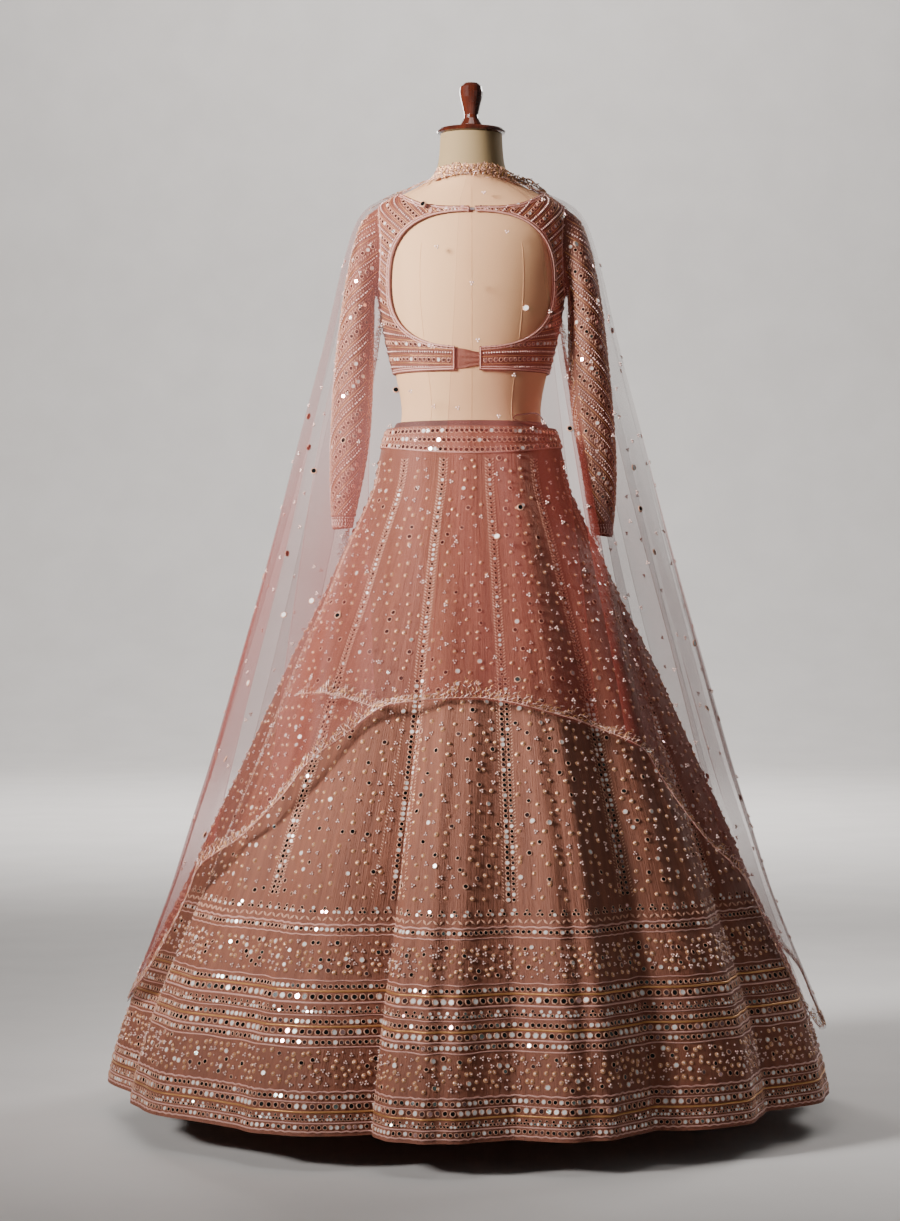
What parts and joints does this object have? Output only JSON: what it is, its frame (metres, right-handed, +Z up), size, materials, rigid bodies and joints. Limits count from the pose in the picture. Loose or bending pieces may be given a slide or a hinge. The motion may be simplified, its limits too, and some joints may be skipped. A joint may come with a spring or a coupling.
{
  "type": "lehenga choli on dress form",
  "caption": "Panelled flared lehenga skirt, open-backed long-sleeved choli and net dupatta worn as a cape, on a limbless dress form with a round-based stand.",
  "frame": {"origin": "centre of the stand's round base on the floor, under the dress form's pole", "axes": "+Z up; +Y the way the wearer faces, so the garment's back looks towards -Y; +X the wearer's right"},
  "size_m": [1.2459, 1.2362, 1.79],
  "materials": {
    "form_linen": "plain beige linen over a firm body",
    "polished_wood": "glossy red-brown varnish",
    "stand_metal": "satin",
    "hook_metal": "satin",
    "choli_cloth": "rose-brown georgette, embroidered all over",
    "skirt_cloth": "rose-brown crinkled georgette, embroidered all over",
    "lining_cloth": "dark brown cotton",
    "dupatta_net": "sheer rose net"
  },
  "bodies": {
    "root": {"form_torso": "form_linen", "form_neck_cap": "polished_wood", "form_finial": "polished_wood", "stand_pole": "stand_metal", "stand_base": "stand_metal", "choli_back_left": "choli_cloth", "choli_back_right": "choli_cloth", "choli_front_left": "choli_cloth", "choli_front_right": "choli_cloth", "choli_back_tab": "choli_cloth", "choli_neck_hook": "hook_metal", "sleeve_left": "choli_cloth", "sleeve_right": "choli_cloth", "lehenga_waistband": "skirt_cloth", "lehenga_lining_band": "lining_cloth", "lehenga_tie": "choli_cloth", "lehenga_panel_01": "skirt_cloth", "lehenga_panel_02": "skirt_cloth", "lehenga_panel_03": "skirt_cloth", "lehenga_panel_04": "skirt_cloth", "lehenga_panel_05": "skirt_cloth", "lehenga_panel_06": "skirt_cloth", "lehenga_panel_07": "skirt_cloth", "lehenga_panel_08": "skirt_cloth", "lehenga_panel_09": "skirt_cloth", "lehenga_panel_10": "skirt_cloth", "lehenga_panel_11": "skirt_cloth", "lehenga_panel_12": "skirt_cloth", "dupatta_left": "dupatta_net", "dupatta_back": "dupatta_net", "dupatta_right": "dupatta_net"}
  },
  "joints": []
}
